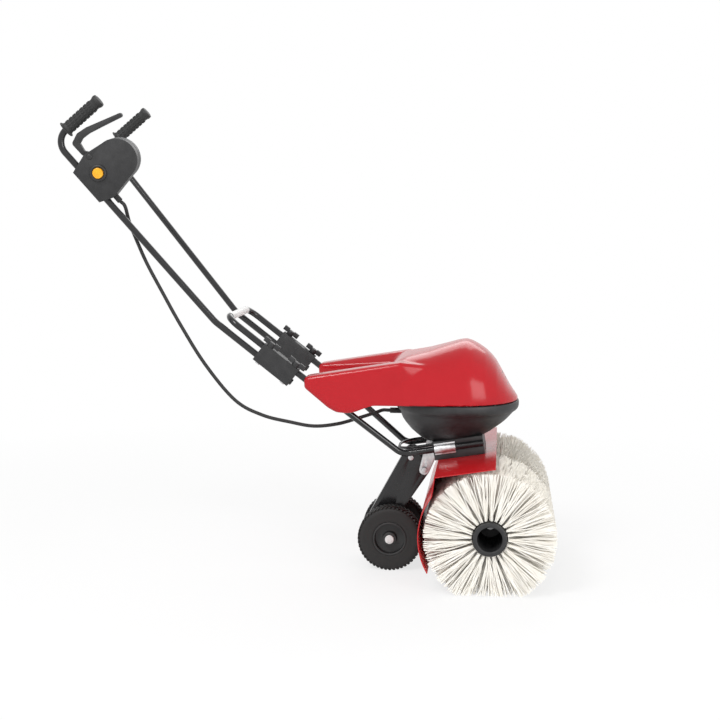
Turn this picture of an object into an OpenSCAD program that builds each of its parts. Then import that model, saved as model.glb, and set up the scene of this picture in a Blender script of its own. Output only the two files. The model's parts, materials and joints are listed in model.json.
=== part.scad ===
// Electric brush sweeper: a cylindrical brush in two halves, turned by a motor through a worm gear.
// X points forward, Y to the operator's left, Z up. The part stands on its wheels and its brush.

/* [Brush] */
// Radius over the bristle tips
brush_r = 155; // [140:1:158]
// Height of the brush axis, with the tips pressed flat on the ground
brush_h = 135; // [122:1:150]
// Outer end of each brush half, from the middle plane
core_end = 290; // [240:1:340]
// Inner end of each brush half, from the middle plane
core_start = 32; // [30:1:45]
// Outside radius of the brush core
core_r = 40; // [36:1:46]
// Radius of the open bore at the outer end of a core
core_bore_r = 29; // [24:1:31]
// Depth of that open bore
core_bore_depth = 140; // [80:1:160]
// Thickness of the webs that carry a core on the shaft
core_web = 8; // [5:0.5:12]
// Tufts around the brush
tufts_around = 24; // [16:1:26]
// Rows of tufts on each half
tuft_rows = 9; // [5:1:9]
// Width of a tuft at its root
tuft_root = 7; // [5:0.5:8]
// Width of a tuft at its tip
tuft_tip = 5; // [3:0.5:8]
// Lean of the outermost row of tufts
tuft_splay = 14; // [0:1:20]
// Radius of the brush shaft
shaft_r = 10; // [8:0.5:12]

/* [Drive] */
// Tilt of the drive unit, front upwards
drive_tilt = 9; // [5:0.5:12]
// Module of the worm gear
gear_module = 3.8; // [3.4:0.1:4]
// Teeth of the worm wheel
gear_teeth = 20; // [18:1:21]
// Starts of the worm
worm_starts = 2; // [1:1:2]
// Pitch radius of the worm
worm_pitch_r = 14; // [13:0.5:15]
// Face width of the worm wheel
gear_face = 16; // [12:1:18]
// Length of the worm
worm_len = 56; // [46:1:60]
// Half thickness of the gear case
case_half = 26; // [25:0.5:28]
// Wall of the gear case round the gears
case_wall = 5; // [4:0.5:7]
// Height of the guard's top plate above the brush axis, along the drive unit
guard_z = 161; // [160:1:170]
// Sheet thickness of the guard
guard_t = 2; // [1.5:0.5:3]
// Length of the gear head
head_len = 124; // [110:1:140]
// Height of the gear head
head_h = 46; // [40:1:60]
// Half width of the gear head
head_half = 80; // [70:1:95]

/* [Motor] */
// Outside radius of the motor can
can_r = 58; // [52:1:64]
// Height of the motor can
can_h = 116; // [100:1:120]
// Wall of the motor can
can_wall = 3; // [2:0.5:4]
// Radial gap between rotor and stator
air_gap = 0.6; // [0.4:0.1:1]
// Radius of the rotor core
rotor_r = 36; // [30:1:40]
// Radius of the rotor shaft
rotor_shaft_r = 8; // [7:0.5:9]
// Radius of the cooling fan
fan_r = 54; // [44:1:60]

/* [Hood and bowl] */
// Radius of the rim where hood and bowl meet
rim_r = 152; // [142:1:162]
// Height of that rim
rim_z = 423; // [414:1:432]
// Distance of the rim's centre behind the brush axis
rim_back = 87; // [80:1:95]
// Depth of the motor bowl
bowl_depth = 115; // [108:1:125]
// Wall of hood and bowl
shell_t = 3; // [2:0.5:4]
// Height of the hood over the rim
hood_h = 152; // [140:1:170]
// Half width of one hood arm
arm_half = 29; // [24:1:34]

/* [Guard] */
// Inner radius of the guard behind the brush
guard_r = 166; // [164:1:172]
// Half width of the guard
guard_half = 292; // [240:1:340]

/* [Frame] */
// Radius of all tubes
tube_r = 8; // [7:0.5:9]
// Wall of all tubes
tube_wall = 1.5; // [1:0.25:2]
// Half spacing of the upper frame rails
rail_half = 135; // [125:1:145]
// Slope of the upper rails
rail_slope = 38; // [35:0.5:41]
// Length of the upper rails, from the kink inside the hood to the bow
rail_len = 277; // [260:1:300]
// Rise of the middle stretch of the rails
rail_rise = 168; // [160:1:176]
// Run of the middle stretch of the rails
rail_run = 204; // [196:1:212]
// Bend radius of the bow
bow_bend = 34; // [26:1:50]

/* [Clamps] */
// Length of a handle clamp
clamp_len = 105; // [95:1:120]
// Distance of the clamps from the kink of the rails
clamp_at = 113; // [105:1:125]
// Spacing of rail and handle tube in the clamp
clamp_gap = 27; // [25:0.5:32]
// Spacing of the two knobs on a clamp
knob_pitch = 76; // [66:1:84]
// Length of a knob's wings
knob_len = 45; // [36:1:54]
// Radius of the clamp bolts
bolt_r = 3; // [2.5:0.25:4]

/* [Handles] */
// Handle tube from the clamp's middle up to its bend
handle_lower = 182; // [170:1:200]
// Handle tube from its bend up to the grip corner
handle_upper = 572; // [480:1:660]
// Slope of the upper handle tube
handle_slope = 50; // [46:0.5:54]
// Flare of each handle tube between bend and grip
handle_flare = 80; // [40:1:110]
// Bend radius at the grip corner
grip_bend = 38; // [30:1:44]
// Length of a grip
grip_len = 104; // [95:1:130]
// Radius of a grip
grip_r = 14; // [12:0.5:17]

/* [Switch box] */
// Length of the box along the tube
box_len = 120; // [110:1:135]
// Reach of the box away from the tube
box_reach = 148; // [135:1:165]
// Depth of the front shell
box_front = 24; // [20:1:30]
// Depth of the back shell
box_back = 28; // [22:1:34]
// Wall of both shells
box_wall = 3; // [2:0.5:4]
// Radius of the push button
button_r = 12.5; // [10:0.5:14]
// Travel of the push button
button_travel = 5; // [3:0.5:6]
// Half thickness of the finger lever
lever_half = 7; // [5:0.5:9]

/* [Wheels] */
// Radius of a wheel
wheel_r = 80; // [72:1:84]
// Width of a wheel
wheel_w = 45; // [35:1:55]
// Distance of the axle behind the brush axis
axle_back = 249; // [249:1:262]
// Radius of the axle
axle_r = 6; // [5:0.5:8]
// Half width of the wheel arm
arm_w = 33; // [30:1:38]

/* [Cable] */
// Radius of the motor cable
cable_r = 4.5; // [3.5:0.25:5]

/* [Fits] */
// Running clearance of shafts, pins and sliding tubes
run_fit = 0.06; // [0.03:0.01:0.1]
// Clearance between moving pieces that only pass each other
pass_gap = 0.5; // [0.3:0.1:1]

/* [Hidden] */

$fn = 64;
hull_fn = 24;
// Overrun of every cut past the faces that it goes through
over = 1;

left = 1;
right = -1;

black = "#242426";
paint = "#1c1c1e";
red = "#c4161c";
zinc = "#c9ccd0";
steel = "#9ea2a8";
cream = "#efece2";
yellow = "#f4b41a";

function unit(v) = v / norm(v);
function on_side(p, s) = [p[0], s * p[1], p[2]];

// Drive unit: its own axes stand on the brush axis and lean by the tilt
function drive_point(x, y, z) = [
  x * cos(drive_tilt) - z * sin(drive_tilt),
  y,
  brush_h + x * sin(drive_tilt) + z * cos(drive_tilt)
];
module drive_unit() {
  translate([0, 0, brush_h]) rotate([0, -drive_tilt, 0]) children();
}
module along_y(length, radius) {
  rotate([90, 0, 0]) cylinder(r = radius, h = length, center = true);
}
// A flat outline in X and Z, as thick along Y as it is told
module plate_y(thick) {
  rotate([90, 0, 0]) linear_extrude(height = thick, center = true) children();
}

gear_r = gear_module * gear_teeth / 2;
worm_off = gear_r + worm_pitch_r;
addendum_share = 0.88;
dedendum_share = 1.1;
gear_out_r = gear_r + gear_module * addendum_share;
gear_root_r = gear_r - gear_module * dedendum_share;
worm_out_r = worm_pitch_r + gear_module * addendum_share;
worm_root_r = worm_pitch_r - gear_module * dedendum_share;
gear_pitch = PI * gear_module;
worm_lead = gear_pitch * worm_starts;

head_z = guard_z + guard_t;
head_top = head_z + head_h;
head_back = worm_off + head_len / 2;
rail_level_share = 0.6;
rail_z = head_z + head_h * rail_level_share;

bearing_w = 10;
output_bearing_r = 21;
seal_r = 16;
gear_side = 3;
seal_w = case_half - bearing_w - gear_face / 2 - gear_side;
chamber_gap = 2.5;
chamber_r = gear_out_r + chamber_gap;
case_r = chamber_r + case_wall;
worm_room_r = worm_out_r + chamber_gap;
foot_bearing_r = 14;
foot_bearing_z = worm_len / 2 + gear_side + bearing_w;
top_bearing_r = 17.5;
column_half = 27;
case_foot = foot_bearing_z + case_wall;

// Rails: the lower bend lies beside the gear head, the kink inside the hood
bend_out = 78;
bend_back = head_back + bend_out;
rail_bend = drive_point(-bend_back, head_half, rail_z);
rail_front = drive_point(-worm_off + head_len / 2, head_half, rail_z);
kink = rail_bend + [-rail_run, rail_half - head_half, rail_rise];
rail_dir = [cos(rail_slope), 0, -sin(rail_slope)];
rail_up = [sin(rail_slope), 0, cos(rail_slope)];
bow_corner = kink - rail_dir * rail_len;
kink_bend = 150;
low_bend = 40;

clamp_mid = kink - rail_dir * clamp_at;
handle_mid = clamp_mid - rail_up * clamp_gap;
tail_out = 4;
handle_tail = clamp_len / 2 + tail_out;
handle_foot = handle_mid + rail_dir * handle_tail;
handle_bend = handle_mid - rail_dir * handle_lower;
upper_dir = unit([-cos(handle_slope), handle_flare / handle_upper, sin(handle_slope)]);
grip_dir = [sin(handle_slope), 0, cos(handle_slope)];
grip_corner = handle_bend + upper_dir * handle_upper;
grip_start = grip_corner + grip_dir * grip_bend;
grip_end = grip_start + grip_dir * grip_len;
bend_r = 60;

// Tube along corner points, with a bend radius at each inner corner. A bend is a trace thicker than the
// straight lengths, which end a little way inside it
bend_swell = 0.05;
bend_lap = 0.5;
function corner_turn(a, b, c) = acos(unit(b - a) * unit(c - b));
function corner_cut(a, b, c, r) = r * tan(corner_turn(a, b, c) / 2);
module straight(p, q, r) {
  v = q - p;
  translate(p) rotate([0, acos(v[2] / norm(v)), atan2(v[1], v[0])]) cylinder(r = r, h = norm(v));
}
module elbow(a, b, c, bend, r) {
  u = unit(b - a);
  m = unit(cross(u, unit(c - b)));
  e = -cross(m, u);
  start = b - u * corner_cut(a, b, c, bend);
  mid = start - e * bend;
  multmatrix([
    [e[0], u[0], m[0], mid[0]], [e[1], u[1], m[1], mid[1]], [e[2], u[2], m[2], mid[2]], [0, 0, 0, 1]
  ]) rotate_extrude(angle = corner_turn(a, b, c)) translate([bend, 0]) circle(r = r + bend_swell);
}
module run(pts, bends, r) {
  last = len(pts) - 1;
  for (i = [0 : last - 1]) {
    d = unit(pts[i + 1] - pts[i]);
    p = i == 0 ? pts[0] : pts[i] + d * (corner_cut(pts[i - 1], pts[i], pts[i + 1], bends[i - 1]) - bend_lap);
    q = i == last - 1 ? pts[last]
      : pts[i + 1] - d * (corner_cut(pts[i], pts[i + 1], pts[i + 2], bends[i]) - bend_lap);
    straight(p, q, r);
  }
  for (i = [1 : last - 1]) elbow(pts[i - 1], pts[i], pts[i + 1], bends[i - 1], r);
}

// The part's middle lies over the origin: from the bristle tips back to the grip corner
corner_in = unit(grip_corner - handle_bend);
corner_side = -cross(unit(cross(corner_in, grip_dir)), corner_in);
corner_mid_x = grip_corner[0] - corner_in[0] * corner_cut(handle_bend, grip_corner, grip_end, grip_bend)
  - corner_side[0] * grip_bend;
rear_reach = -corner_mid_x + grip_bend * norm([corner_in[0], corner_side[0]]) + tube_r;
front_reach = brush_r * cos(180 / tufts_around) + tuft_tip / 2 * sin(180 / tufts_around);
origin_x = (rear_reach - front_reach) / 2;

// Lower frame: one bent tube, two rails joined by the bow
module frame_run(r, extra) {
  near = [rail_front + unit(rail_front - rail_bend) * extra, rail_bend, kink, bow_corner];
  far = [for (i = [3 : -1 : 0]) on_side(near[i], right)];
  run(concat(near, far), [low_bend, kink_bend, bow_bend, bow_bend, kink_bend, low_bend], r);
}
module lower_frame() {
  color(paint) difference() {
    frame_run(tube_r, 0);
    frame_run(tube_r - tube_wall, over);
  }
}

// Pale sleeve on the bow, to lift the sweeper by
sleeve_half = rail_half - bow_bend;
sleeve_t = 1.5;
module bow_sleeve() {
  color("white") translate([bow_corner[0], 0, bow_corner[2]]) difference() {
    along_y(2 * sleeve_half, tube_r + sleeve_t);
    along_y(2 * sleeve_half + 2 * over, tube_r);
  }
}

// Gear head: block under the bowl that the gear case, the rails and the wheel arm are bolted to
tongue_half = 18;
tongue_h = 34;
arm_bolt_r = 4;
upper_bolt = [-head_back - 62, rail_z - 20];
lower_bolt = [-head_back - 33, head_z - 28];
module gear_head() {
  color(black) drive_unit() difference() {
    union() {
      translate([-head_back, -head_half, head_z]) cube([head_len, 2 * head_half, head_h]);
      translate([upper_bolt[0], -tongue_half, upper_bolt[1] - tongue_h / 2])
        cube([-upper_bolt[0] - head_back + over, 2 * tongue_half, tongue_h]);
      translate([upper_bolt[0], 0, upper_bolt[1]]) along_y(2 * tongue_half, tongue_h / 2);
    }
    for (s = [left, right]) translate([-head_back - over, s * head_half, rail_z])
      rotate([0, 90, 0]) cylinder(r = tube_r, h = head_len + 2 * over);
    translate([-worm_off, 0, head_z - over]) cylinder(r = rotor_shaft_r + chamber_gap, h = head_h + 2 * over);
    translate([-worm_off, 0, head_top - bearing_w]) cylinder(r = top_bearing_r, h = bearing_w + over);
    translate([upper_bolt[0], 0, upper_bolt[1]]) along_y(2 * tongue_half + 2 * over, arm_bolt_r);
  }
}

// Gear case: two halves that meet in the middle plane
screw_r = 2.5;
screw_len = 20;
screw_head_r = 4.5;
screw_head_h = 3;
screw_spot_in = 5;
module case_outline() {
  circle(r = case_r);
  translate([-worm_off - column_half, -case_foot]) square([2 * column_half, case_foot + head_z]);
}
module case_screw_spots() {
  for (p = [
    [-worm_off + column_half - screw_spot_in, guard_z - 2 * screw_spot_in],
    [-worm_off - column_half + screw_spot_in, guard_z - 2 * screw_spot_in],
    [-worm_off - column_half + screw_spot_in, -case_foot + screw_spot_in]
  ]) translate([p[0], 0, p[1]]) children();
}
module gear_case(s) {
  color(paint) drive_unit() difference() {
    translate([0, s * case_half / 2, 0]) plate_y(case_half) case_outline();
    along_y(gear_face + 2 * gear_side, chamber_r);
    along_y(gear_face + 2 * gear_side + 2 * bearing_w, output_bearing_r);
    along_y(2 * case_half + 2 * over, seal_r);
    translate([-worm_off, 0, -worm_len / 2 - gear_side])
      cylinder(r = worm_room_r, h = worm_len + 2 * gear_side);
    translate([-worm_off, 0, -foot_bearing_z]) cylinder(r = foot_bearing_r, h = bearing_w + over);
    translate([-worm_off, 0, 0]) cylinder(r = rotor_shaft_r + chamber_gap, h = head_z + over);
    case_screw_spots() along_y(2 * case_half + 2 * over, screw_r);
  }
}
module gear_case_left() {
  gear_case(left);
}
module gear_case_right() {
  gear_case(right);
}
module case_screws() {
  color(steel) drive_unit() case_screw_spots() {
    along_y(2 * case_half, screw_r);
    for (s = [left, right]) translate([0, s * (case_half + screw_head_h / 2), 0])
      along_y(screw_head_h, screw_head_r);
  }
}

// Bearings and seals of the two shafts
module ring(r_out, r_in, h) {
  difference() {
    cylinder(r = r_out, h = h);
    translate([0, 0, -over]) cylinder(r = r_in, h = h + 2 * over);
  }
}
module output_bearings() {
  color(steel) drive_unit() for (s = [left, right])
    translate([0, s * (gear_face / 2 + gear_side), 0]) rotate([-s * 90, 0, 0])
      ring(output_bearing_r, shaft_r + run_fit, bearing_w);
}
module shaft_seals() {
  color("#303032") drive_unit() for (s = [left, right])
    translate([0, s * (case_half - seal_w), 0]) rotate([-s * 90, 0, 0])
      ring(seal_r, shaft_r + run_fit, seal_w);
}
bridge_z = head_top + can_h;
bridge_h = 14;
module motor_bearings() {
  color(steel) drive_unit() translate([-worm_off, 0, 0]) {
    translate([0, 0, -foot_bearing_z]) ring(foot_bearing_r, rotor_shaft_r + run_fit, bearing_w);
    translate([0, 0, head_top - bearing_w]) ring(top_bearing_r, rotor_shaft_r + run_fit, bearing_w);
    translate([0, 0, bridge_z + bridge_h - bearing_w])
      ring(foot_bearing_r, rotor_shaft_r + run_fit, bearing_w);
  }
}

// Motor: can, stator, bearing bridge, rotor and fan, upright on the gear head
stator_gap = 12;
stator_h = can_h - 2 * stator_gap;
module motor_can() {
  color(steel) drive_unit() translate([-worm_off, 0, head_top]) ring(can_r, can_r - can_wall, can_h);
}
module stator() {
  color("#7a4a22") drive_unit() translate([-worm_off, 0, head_top + stator_gap])
    ring(can_r - can_wall, rotor_r + air_gap, stator_h);
}
module motor_bridge() {
  color(steel) drive_unit() translate([-worm_off, 0, bridge_z]) difference() {
    cylinder(r = can_r, h = bridge_h);
    translate([0, 0, -over]) cylinder(r = rotor_shaft_r + chamber_gap, h = bridge_h);
    translate([0, 0, bridge_h - bearing_w]) cylinder(r = foot_bearing_r, h = bearing_w + over);
  }
}
fan_z = bridge_z + bridge_h + 2 * gear_side;
fan_h = 18;
fan_disc = 3;
fan_blades = 9;
fan_hub_r = 14;
worm_slices = 30;
// Room between the foot of the rotor shaft and the gear case
foot_gap = 1;
module rotor_shaft() {
  color(steel) drive_unit() translate([-worm_off, 0, 0]) {
    translate([0, 0, foot_gap - foot_bearing_z])
      cylinder(r = rotor_shaft_r, h = foot_bearing_z - foot_gap + fan_z + fan_h);
    rotate(-worm_len / worm_lead * 180) linear_extrude(
      height = worm_len, center = true, twist = -worm_len / worm_lead * 360, slices = worm_slices, $fn = 12
    ) worm_section();
  }
}
// Height of the thread at fixed angles either side of its crest, from root to crest
thread_shares = [[-0.5, 0], [-0.26, 0], [-0.17, 0.5], [-0.09, 1], [0.09, 1], [0.17, 0.5], [0.26, 0]];
module worm_section() {
  polygon([for (k = [0 : worm_starts - 1], t = thread_shares)
    let (at = (t[0] + k) * 360 / worm_starts, r = worm_root_r + (worm_out_r - worm_root_r) * t[1])
    [r * cos(at), r * sin(at)]]);
}
module rotor_core() {
  color("#8a8d92") drive_unit() translate([-worm_off, 0, head_top + stator_gap])
    ring(rotor_r, rotor_shaft_r, stator_h);
}
module fan() {
  color("#3a3a3c") drive_unit() translate([-worm_off, 0, fan_z]) difference() {
    union() {
      cylinder(r = fan_r, h = fan_disc);
      cylinder(r = fan_hub_r, h = fan_h - fan_disc);
      for (i = [0 : fan_blades - 1]) rotate(i * 360 / fan_blades)
        translate([fan_hub_r - fan_disc, -fan_disc / 2, fan_disc / 2])
          cube([fan_r - fan_hub_r, fan_disc, fan_h - 2 * fan_disc]);
    }
    translate([0, 0, -over]) cylinder(r = rotor_shaft_r, h = fan_h + 2 * over);
  }
}

// Worm wheel on the brush shaft, its teeth turned to the lead of the worm
tooth_root_share = 0.26;
tooth_tip_share = 0.15;
gear_twist = gear_face * worm_lead / (2 * PI * worm_pitch_r) / gear_r * 180 / PI;
module gear_outline() {
  step = 360 / gear_teeth;
  root = tooth_root_share * step;
  tip = tooth_tip_share * step;
  polygon([for (i = [0 : gear_teeth - 1], k = [[-root, gear_root_r], [-tip, gear_out_r], [tip, gear_out_r],
    [root, gear_root_r]])
    let (at = i * step + step / 2 + k[0]) [k[1] * cos(at), k[1] * sin(at)]]);
}
module worm_wheel() {
  color("#b08d3c") drive_unit() difference() {
    rotate([-90, 0, 0]) rotate(-gear_twist / 2)
      linear_extrude(height = gear_face, center = true, slices = 4, twist = -gear_twist) gear_outline();
    along_y(gear_face + 2 * over, shaft_r);
  }
}
shaft_half = core_end - core_bore_depth;
module brush_shaft() {
  color(steel) translate([0, 0, brush_h]) along_y(2 * shaft_half, shaft_r);
}

// Brush halves: a core with two webs on the shaft, and its tufts on a sleeve
module brush_core(s) {
  length = core_end - core_start;
  color(black) translate([0, s * core_start, brush_h]) rotate([-s * 90, 0, 0]) difference() {
    cylinder(r = core_r, h = length);
    translate([0, 0, -over]) cylinder(r = shaft_r, h = length);
    translate([0, 0, core_web]) cylinder(r = core_bore_r, h = length - core_bore_depth - 2 * core_web);
    translate([0, 0, length - core_bore_depth]) cylinder(r = core_bore_r, h = core_bore_depth + over);
  }
}
module brush_core_left() {
  brush_core(left);
}
module brush_core_right() {
  brush_core(right);
}

// The sleeve is a grid of cells, and a four-sided tuft grows from the middle of each cell
sleeve_in_r = (core_r + run_fit) / cos(180 / tufts_around);
sleeve_out_r = sleeve_in_r + 2 * sleeve_t;
sleeve_margin = 3;
row_len = (core_end - core_start - 2 * sleeve_margin) / tuft_rows;
function ring_at(r, i) = [r * cos(360 * i / tufts_around), r * sin(360 * i / tufts_around)];
// Points of one half, with local x forward, local y up and local z outwards along the axis
function grid_point(i, j) = concat(ring_at(sleeve_out_r, i), [sleeve_margin + j * row_len]);
function tuft_lean(j) = tuft_splay * max(0, (2 * j + 1) / tuft_rows - 1);
function tuft_corner(i, j, k, s) =
  let (a = 360 * (i + 0.5) / tufts_around, mid = sleeve_margin + (j + 0.5) * row_len,
    du = [-1, 1, 1, -1][k] / 2, dv = [-1, -1, 1, 1][k] / 2,
    r = sleeve_out_r * cos(180 / tufts_around), flat = brush_r * sin(a) < -brush_h)
  s == 0
    ? [r * cos(a) - du * tuft_root * sin(a), r * sin(a) + du * tuft_root * cos(a), mid + dv * tuft_root]
    : flat
      ? [brush_r * cos(a) + du * tuft_tip * sign(-sin(a)), -brush_h, mid + tuft_lean(j) + dv * tuft_tip]
      : [brush_r * cos(a) - du * tuft_tip * sin(a),
         max(-brush_h, brush_r * sin(a) + du * tuft_tip * cos(a)), mid + tuft_lean(j) + dv * tuft_tip];
module tufts() {
  n = tufts_around;
  rows = tuft_rows;
  grid = [for (j = [0 : rows], i = [0 : n - 1]) grid_point(i, j)];
  corners = [for (j = [0 : rows - 1], i = [0 : n - 1], s = [0, 1], k = [0 : 3]) tuft_corner(i, j, k, s)];
  inner = [for (z = [sleeve_margin, sleeve_margin + rows * row_len], i = [0 : n - 1])
    concat(ring_at(sleeve_in_r, i), [z])];
  g = function (i, j) j * n + i % n;
  c0 = len(grid);
  c = function (i, j, s, k) c0 + ((j * n + i) * 2 + s) * 4 + k % 4;
  b0 = c0 + len(corners);
  b = function (i, e) b0 + e * n + i % n;
  cell = function (i, j) [g(i, j), g(i + 1, j), g(i + 1, j + 1), g(i, j + 1)];
  quads = concat(
    [for (j = [0 : rows - 1], i = [0 : n - 1], k = [0 : 3])
      [cell(i, j)[k], cell(i, j)[(k + 1) % 4], c(i, j, 0, k + 1), c(i, j, 0, k)]],
    [for (j = [0 : rows - 1], i = [0 : n - 1], k = [0 : 3])
      [c(i, j, 0, k), c(i, j, 0, k + 1), c(i, j, 1, k + 1), c(i, j, 1, k)]],
    [for (j = [0 : rows - 1], i = [0 : n - 1]) [for (k = [0 : 3]) c(i, j, 1, k)]],
    [for (i = [0 : n - 1]) [b(i + 1, 0), b(i, 0), b(i, 1), b(i + 1, 1)]],
    [for (i = [0 : n - 1]) [b(i, 0), b(i + 1, 0), g(i + 1, 0), g(i, 0)]],
    [for (i = [0 : n - 1]) [b(i + 1, 1), b(i, 1), g(i, rows), g(i + 1, rows)]]
  );
  faces = [for (q = quads, t = [[0, 2, 1], [0, 3, 2]]) [for (v = t) q[v]]];
  polyhedron(points = concat(grid, corners, inner), faces = faces);
}
module bristles(s) {
  color(cream) translate([0, s * core_start, brush_h]) rotate([90, 0, 0])
    if (s > 0) mirror([0, 0, 1]) tufts();
    else tufts();
}
module bristles_left() {
  bristles(left);
}
module bristles_right() {
  bristles(right);
}

// Motor bowl: a dish under the hood, cut open where the gear head and the rail straps stand in it
bowl_shares = [[1, 0], [1, 0.17], [0.94, 0.27], [0.83, 0.45], [0.7, 0.63], [0.58, 0.78], [0.45, 0.9]];
flange_in = 34;
flange_t = 5;
module bowl_profile(inset) {
  polygon(concat(
    [for (p = bowl_shares) [p[0] * rim_r - inset, rim_z - p[1] * bowl_depth + inset / 2]],
    [[0, rim_z - bowl_shares[len(bowl_shares) - 1][1] * bowl_depth + inset / 2], [0, rim_z + inset]]
  ));
}
gland_y = 10;
gland_drop = 32;
gland_r = 7;
gland_in = 14;
gland_out = 16;
gland_z = rim_z - gland_drop;
rim_screws = 4;
module rim_screw_spots() {
  for (i = [0 : rim_screws - 1]) translate([-rim_back, 0, 0]) rotate((2 * i + 1) * 180 / rim_screws)
    translate([rim_r - flange_in / 2, 0, rim_z]) children();
}
module motor_bowl() {
  color(black) difference() {
    translate([-rim_back, 0, 0]) {
      difference() {
        rotate_extrude() bowl_profile(0);
        rotate_extrude() bowl_profile(2 * shell_t);
      }
      translate([0, 0, rim_z - flange_t]) ring(rim_r - shell_t / 2, rim_r - flange_in, flange_t);
    }
    drive_unit() translate([-worm_off, 0, 0]) cylinder(r = can_r + pass_gap, h = bridge_z);
    drive_unit() translate([-head_back, -head_half, head_z]) cube([head_len, 2 * head_half, head_h]);
    drive_unit() for (s = [left, right]) translate([-bend_back, s * head_half, rail_z]) rotate([0, 90, 0])
      cylinder(r = tube_r + strap_foot + pass_gap, h = head_len + 2 * bend_out);
    rim_screw_spots() cylinder(r = screw_r, h = 4 * flange_t, center = true);
    translate([-rim_back - rim_r - gland_out, -gland_y, gland_z]) rotate([0, 90, 0])
      cylinder(r = gland_r, h = gland_in + gland_out + flange_in);
  }
}
module motor_gland() {
  color(paint) translate([-rim_back - rim_r - gland_out, -gland_y, gland_z]) rotate([0, 90, 0]) difference() {
    cylinder(r = gland_r, h = gland_in + gland_out);
    translate([0, 0, -over]) cylinder(r = cable_r + pass_gap, h = gland_in + over);
  }
}

// Hood: a shell over the motor with two arms that run back over the rails
module ball(p, r) {
  translate(p) sphere(r = r, $fn = ball_fn);
}
module disc(p, r, h) {
  translate(p) cylinder(r = r, h = h, $fn = 2 * hull_fn);
}
ball_fn = 16;
hood_lip = 9;
edge_r = 10;
hood_share = [
  [0.145, 0.3, 0.81, 0.17], [0.44, 0.26, 0.62, 0.17], [-0.02, 0.58, 0.33, 0.26],
  [-0.78, 0.4, 0.585, 0.2], [-1.04, 0.56, 0.36, 0.1]
];
function hood_at(k, s) = [
  -rim_back + hood_share[k][0] * rim_r, s * hood_share[k][1] * rim_r, rim_z + hood_share[k][2] * hood_h
];
module hood_ball(k, s, inset) {
  ball(hood_at(k, s), hood_share[k][3] * rim_r - inset);
}
// Corners of an arm in X and Z from the kink of the rails, as shares of the rails' run and the hood's height
arm_share = [[-0.093, 0.145], [-0.093, 0.053], [0.172, -0.29], [1.02, -0.185], [0.931, 0.38]];
arm_centre = rail_half - shell_t;
lobe_share = 0.6;
function arm_x(k) = kink[0] + arm_share[k][0] * rail_run;
function arm_z(k) = kink[2] + arm_share[k][1] * hood_h;
module arm_ball(k, s, inset) {
  for (e = [left, right])
    ball([arm_x(k), s * arm_centre + e * (arm_half - edge_r), arm_z(k)], edge_r - inset);
}
module arm_skirt(k, s, inset) {
  translate([arm_x(k), s * arm_centre, rim_z + edge_r / 2 - (inset > 0 ? 2 * edge_r : 0)])
    cube([2 * edge_r - 2 * inset, 2 * arm_half - 2 * inset, edge_r], center = true);
}
module hood_form(inset) {
  low = rim_z - (inset > 0 ? edge_r : 0);
  hull() {
    disc([-rim_back, 0, low], rim_r - inset, hood_lip + rim_z - low);
    for (s = [left, right], k = [0, 1, 2]) hood_ball(k, s, inset);
  }
  hull() {
    disc([-rim_back, 0, low], rim_r - inset, hood_lip);
    for (s = [left, right], k = [0, 3, 4]) hood_ball(k, s, inset);
  }
  for (s = [left, right]) {
    hull() {
      for (k = [3, 4]) arm_ball(k, s, inset);
      arm_skirt(3, s, inset);
      disc([-rim_back, s * rim_r * (1 - lobe_share), low], rim_r * lobe_share - inset, hood_lip);
      hood_ball(2, s, inset);
    }
    hull() {
      for (k = [0 : 4]) arm_ball(k, s, inset);
      arm_skirt(3, s, inset);
      arm_skirt(2, s, inset);
    }
  }
}
post_r = 8;
module hood() {
  color(red) difference() {
    union() {
      difference() {
        hood_form(0);
        hood_form(shell_t);
      }
      intersection() {
        hood_form(0);
        rim_screw_spots() cylinder(r = post_r, h = hood_h);
      }
    }
    rim_screw_spots() cylinder(r = screw_r, h = 2 * screw_len, center = true);
    for (s = [left, right]) straight(on_side(kink, s), on_side(kink - rail_dir * rail_len, s), tube_r);
  }
}
module hood_screws() {
  color(steel) rim_screw_spots() translate([0, 0, -flange_t]) {
    translate([0, 0, -screw_head_h]) cylinder(r = screw_head_r, h = screw_head_h);
    cylinder(r = screw_r, h = screw_len);
  }
}

// Guard: a sheet over the brush, with a rear part that curves round the bristles
guard_front = 38;
guard_back = 106;
guard_from = 135;
guard_to = 201;
guard_lap = 0.5;
guard_cut_gap = 1;
module guard_profile() {
  reach = 2 * guard_r;
  translate([-guard_back, guard_z]) square([guard_back + guard_front, guard_t]);
  intersection() {
    difference() {
      circle(r = guard_r + guard_t);
      circle(r = guard_r);
    }
    polygon([[0, 0], [reach * cos(guard_from), reach * sin(guard_from)], [-reach, 0],
      [reach * cos(guard_to), reach * sin(guard_to)]]);
  }
  at = [cos(guard_from + guard_lap), sin(guard_from + guard_lap)];
  polygon([at * guard_r, [-guard_back + guard_t, guard_z + guard_t / 2], [-guard_back, guard_z + guard_t / 2],
    at * (guard_r + guard_t)]);
}
module guard() {
  color(red) drive_unit() difference() {
    plate_y(2 * guard_half) guard_profile();
    translate([-worm_off - column_half - guard_cut_gap, -case_half - guard_cut_gap, guard_z - over])
      cube([2 * column_half + 2 * guard_cut_gap, 2 * case_half + 2 * guard_cut_gap, guard_t + 2 * over]);
  }
}

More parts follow.
